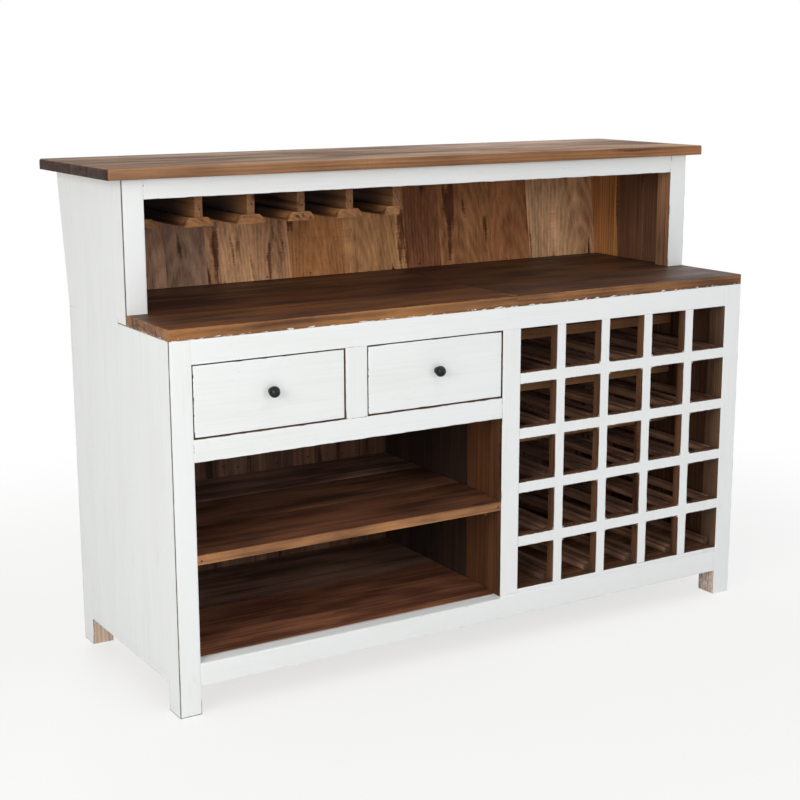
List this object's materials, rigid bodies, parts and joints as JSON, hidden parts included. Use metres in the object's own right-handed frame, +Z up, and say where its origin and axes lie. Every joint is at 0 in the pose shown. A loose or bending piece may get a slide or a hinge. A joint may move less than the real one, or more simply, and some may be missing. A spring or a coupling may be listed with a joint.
{
  "type": "home bar",
  "caption": "Free-standing home bar of painted and natural reclaimed wood: drawers, open shelf, bottle lattice, worktop and raised counter with stemware rails.",
  "frame": {"origin": "centre of the footprint on the floor", "axes": "+X to the right as seen from the drawer side, -Y towards that viewer, +Z up"},
  "size_m": [1.572, 0.631, 1.107],
  "materials": {
    "white_paint": "brushed white paint on wood, worn at the edges",
    "teak": "oiled reclaimed teak boards",
    "iron": "black waxed cast iron"
  },
  "bodies": {
    "carcass": {"back_left_post": "white_paint", "back_right_post": "white_paint", "bay_stile": "white_paint", "bottle_cross_rails": "teak", "bottle_runners_1": "teak", "bottle_runners_2": "teak", "bottle_runners_3": "teak", "bottle_runners_4": "teak", "bottle_runners_5": "teak", "bottom_panel_left": "teak", "bottom_panel_right": "teak", "drawer_guides": "teak", "drawer_rail": "white_paint", "drawer_runners": "teak", "drawer_stile": "white_paint", "front_bottom_rail": "white_paint", "front_left_post": "white_paint", "front_right_post": "white_paint", "front_top_rail": "white_paint", "glass_rail_1": "teak", "glass_rail_2": "teak", "glass_rail_3": "teak", "glass_rail_4": "teak", "glass_rail_5": "teak", "glass_rail_left": "teak", "lattice_bar_1": "white_paint", "lattice_bar_2": "white_paint", "lattice_bar_3": "white_paint", "lattice_bar_4": "white_paint", "lattice_sill": "white_paint", "lattice_upright_1": "white_paint", "lattice_upright_2": "white_paint", "lattice_upright_3": "white_paint", "lattice_upright_4": "white_paint", "left_side_front_boards": "white_paint", "left_side_rear_panel": "white_paint", "lower_back_boards": "teak", "partition_panel": "teak", "right_side_front_boards": "white_paint", "right_side_rear_panel": "white_paint", "shelf": "teak", "shelf_cleats": "teak", "top_boards": "teak", "upper_back_boards": "teak", "upper_front_rail": "white_paint", "upper_left_stile": "white_paint", "upper_right_stile": "white_paint", "worktop_left": "teak", "worktop_right": "teak"},
    "left_drawer": {"left_drawer_back": "teak", "left_drawer_bottom": "teak", "left_drawer_front": "white_paint", "left_drawer_knob": "iron", "left_drawer_sides": "teak"},
    "right_drawer": {"right_drawer_back": "teak", "right_drawer_bottom": "teak", "right_drawer_front": "white_paint", "right_drawer_knob": "iron", "right_drawer_sides": "teak"}
  },
  "joints": [
    {"name": "left_drawer_slide", "type": "slide", "parent": "carcass", "child": "left_drawer", "axis": [0, -1, 0], "range_m": [0, 0.3]},
    {"name": "right_drawer_slide", "type": "slide", "parent": "carcass", "child": "right_drawer", "axis": [0, -1, 0], "range_m": [0, 0.3]}
  ]
}
